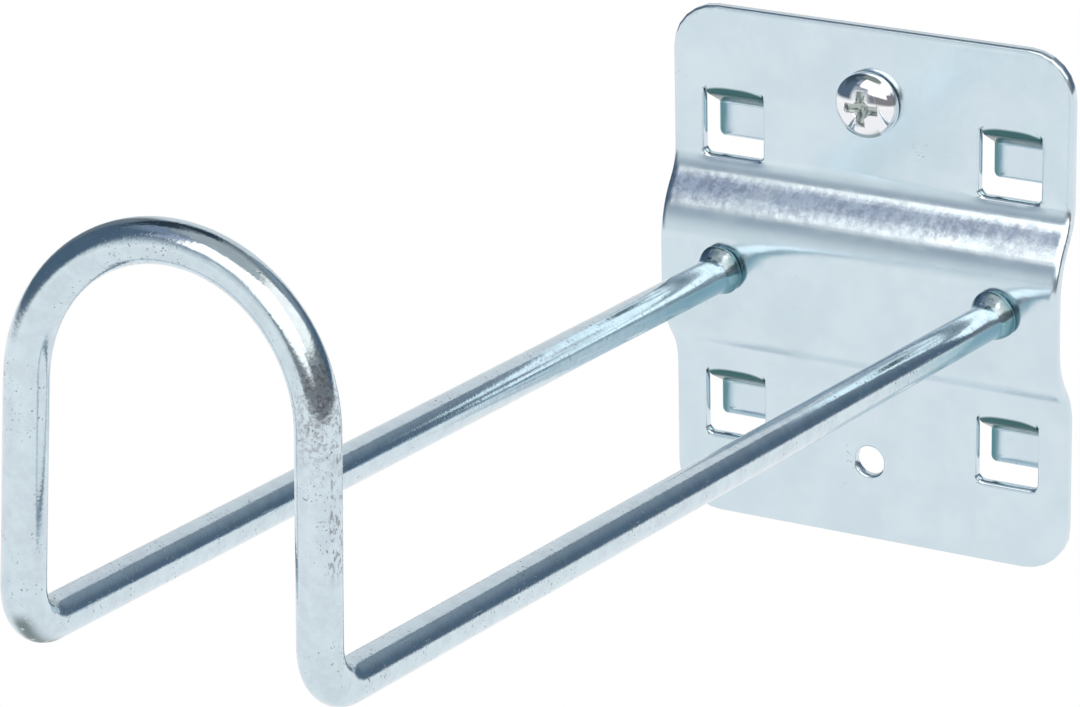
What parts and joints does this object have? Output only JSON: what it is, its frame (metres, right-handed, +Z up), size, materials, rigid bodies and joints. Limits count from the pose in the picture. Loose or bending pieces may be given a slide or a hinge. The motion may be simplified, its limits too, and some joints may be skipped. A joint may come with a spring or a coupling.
{
  "type": "cable holder",
  "caption": "Wire cable holder for a perforated tool panel: two arms with a raised loop at the front, welded to a pressed hook-in plate with a fixing screw.",
  "frame": {"origin": "on the plate's back face, on its centre line, between the fixing screw and the upper step", "axes": "+Y out of the plate's back into the panel, -Y along the arms, +Z up, +X to the right seen from the front"},
  "size_m": [0.0546, 0.1737, 0.0947],
  "materials": {
    "zinc_sheet": "zinc plated, satin",
    "zinc_wire": "zinc plated, bright",
    "bright_zinc": "bright plated"
  },
  "bodies": {
    "root": {"base_plate": "zinc_sheet", "wire_bracket": "zinc_wire", "fixing_screw": "bright_zinc"}
  },
  "joints": []
}
